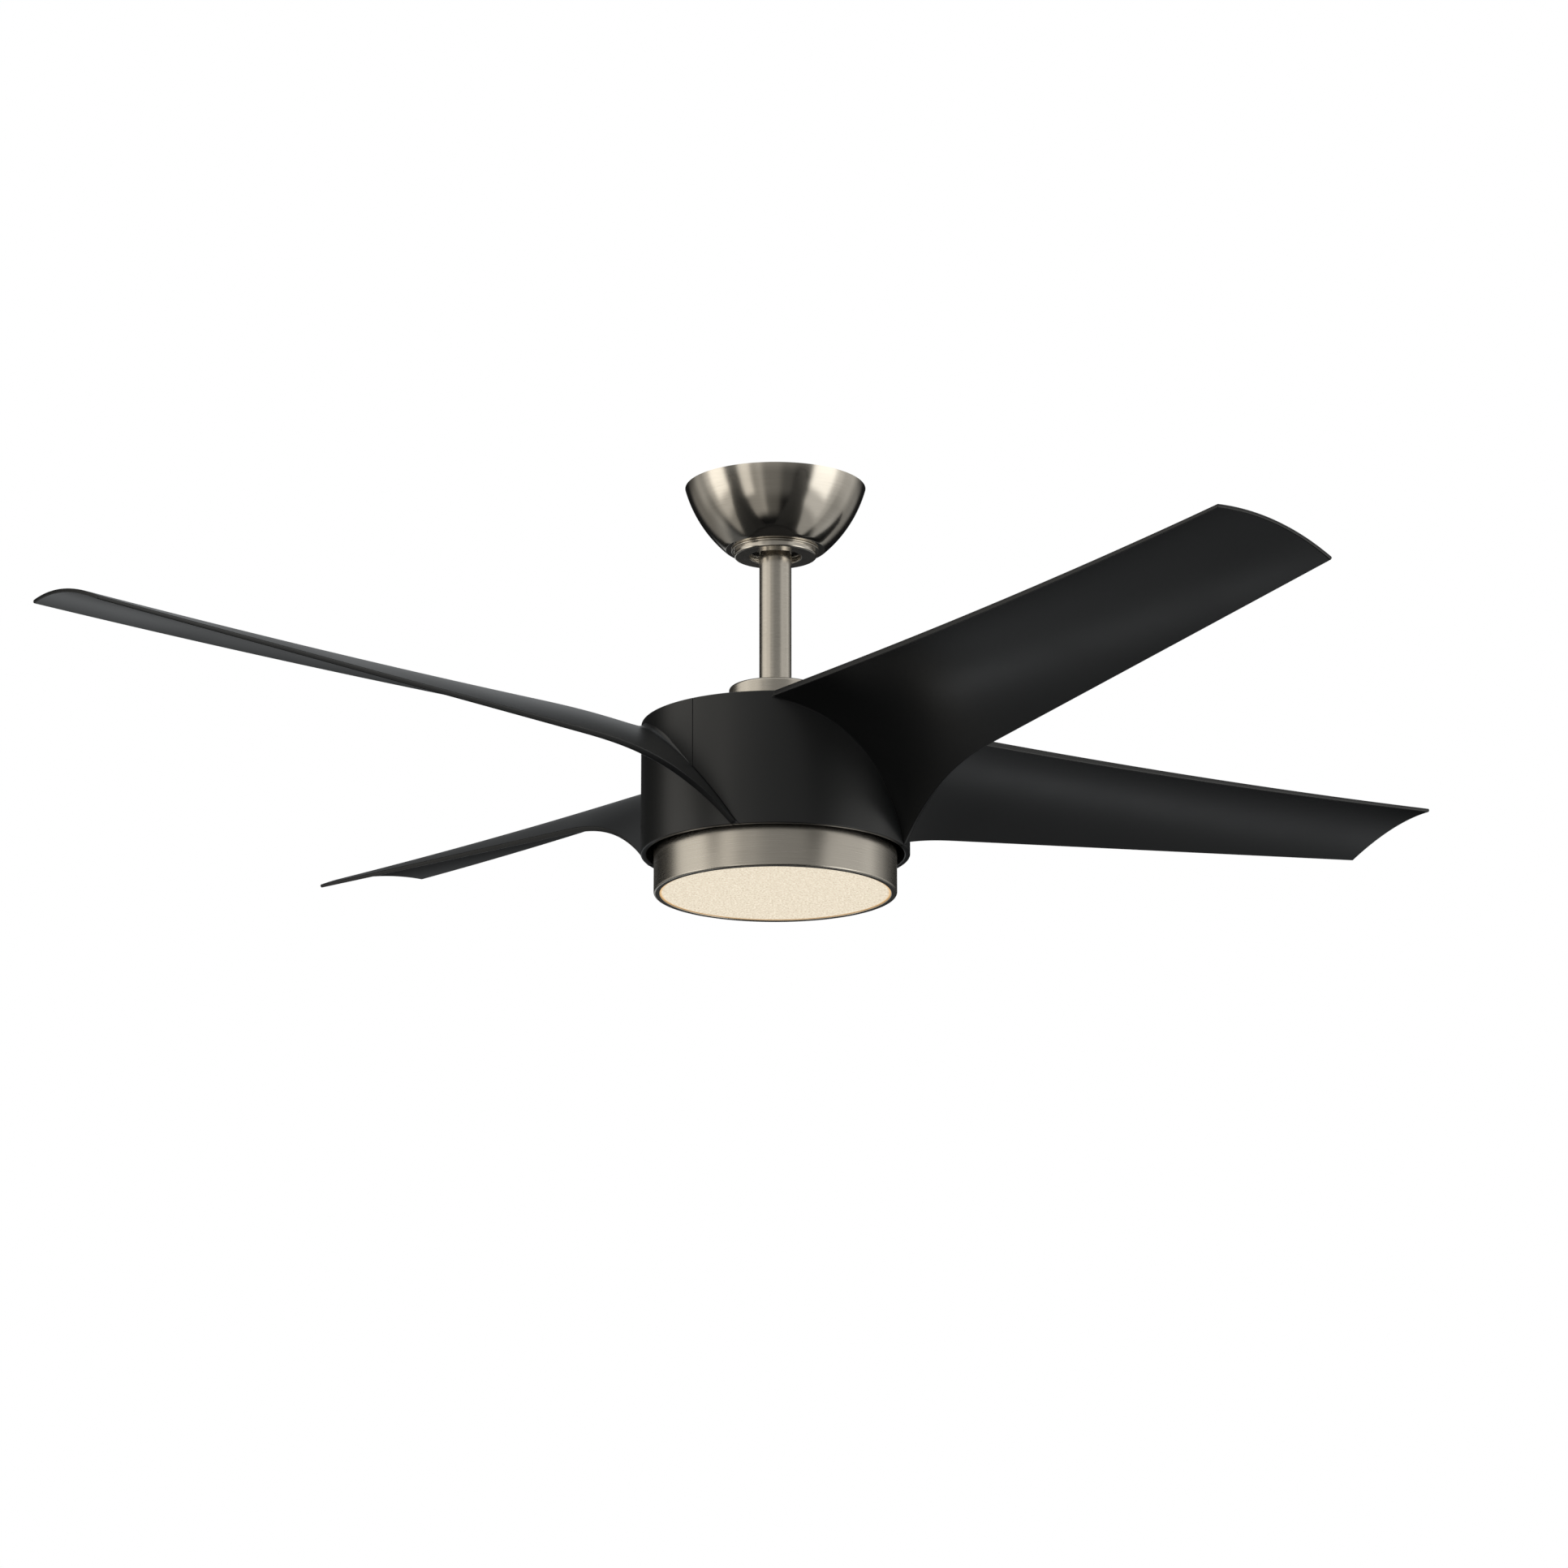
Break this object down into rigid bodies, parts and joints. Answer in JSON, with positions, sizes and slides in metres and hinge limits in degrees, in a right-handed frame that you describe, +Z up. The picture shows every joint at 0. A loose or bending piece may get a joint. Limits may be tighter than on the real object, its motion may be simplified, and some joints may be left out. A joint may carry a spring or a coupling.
{
  "type": "ceiling fan with light",
  "caption": "Ceiling fan with moulded blades that carry the round housing wall, a short downrod, a bowl canopy and a round LED light with a frosted lens.",
  "frame": {"origin": "centre of the ceiling plane, midway between the two outlet box slots of the hanger bracket, at the height of the canopy rim", "axes": "+Z up along the downrod and the fan's spin axis; +X along the line of the bracket's two slots"},
  "size_m": [1.15, 1.15, 0.348],
  "materials": {
    "blade_black": "matte moulded ABS, black with a soft sheen",
    "satin_nickel": "brushed satin nickel, warm",
    "frosted_lens": "frosted acrylic, warm white, lit",
    "zinc_steel": "zinc plated pressed steel",
    "hardened_steel": "machined and ground steel",
    "cast_aluminium": "die cast, as cast",
    "sheet_aluminium": "rolled sheet",
    "cast_iron_grey": "cast, dark phosphate finish",
    "laminations": "stacked electrical steel",
    "copper_wire": "enamelled copper winding",
    "magnet_ferrite": "sintered ferrite",
    "board_white": "white solder mask",
    "led_phosphor": "phosphor coated LED package",
    "driver_case": "white painted steel case",
    "receiver_black": "textured black plastic",
    "connector_orange": "orange moulded plastic",
    "earth_green": "green plated screw",
    "black_screw": "black zinc screw"
  },
  "bodies": {
    "ceiling_mount": {"hanger_bracket": "zinc_steel", "ground_screw": "earth_green", "canopy": "satin_nickel", "canopy_screws": "zinc_steel", "canopy_cap": "satin_nickel", "receiver_module": "receiver_black", "wire_connectors": "connector_orange"},
    "hanging": {"hanger_ball": "cast_iron_grey", "ball_cross_pin": "hardened_steel", "ball_set_screw": "hardened_steel", "downrod": "satin_nickel", "motor_coupling": "cast_iron_grey", "coupling_pin": "hardened_steel", "pin_clip": "hardened_steel", "coupling_set_screws": "hardened_steel", "coupling_cover": "satin_nickel", "motor_shaft": "hardened_steel", "upper_inner_race": "hardened_steel", "lower_inner_race": "hardened_steel", "stator_core": "laminations", "stator_coils": "copper_wire", "light_mount_plate": "zinc_steel", "shaft_nut": "zinc_steel", "light_ring": "satin_nickel", "ring_screws": "zinc_steel", "led_standoffs": "zinc_steel", "heat_plate": "sheet_aluminium", "led_board": "board_white", "led_chips": "led_phosphor", "led_driver": "driver_case", "driver_clips": "zinc_steel"},
    "rotor": {"rotor_cup": "cast_aluminium", "rotor_lid": "cast_aluminium", "rotor_screws": "zinc_steel", "magnets": "magnet_ferrite", "upper_outer_race": "hardened_steel", "lower_outer_race": "hardened_steel", "bearing_balls": "hardened_steel", "blade_screws": "black_screw", "blade_1": "blade_black", "blade_2": "blade_black", "blade_3": "blade_black", "blade_4": "blade_black", "top_plate": "receiver_black", "top_plate_screws": "black_screw"},
    "lens": {"lens": "frosted_lens"}
  },
  "joints": [
    {"name": "hanger_tilt", "type": "hinge", "parent": "ceiling_mount", "child": "hanging", "pos_m": [0, 0, -0.028], "axis": [1, 0, 0], "range_deg": [-12, 12]},
    {"name": "rotor_spin", "type": "hinge", "parent": "hanging", "child": "rotor", "pos_m": [0, 0, -0.25], "axis": [0, 0, 1], "continuous": true},
    {"name": "lens_twist", "type": "hinge", "parent": "hanging", "child": "lens", "pos_m": [0, 0, -0.34], "axis": [0, 0, -1], "range_deg": [0, 20]}
  ]
}
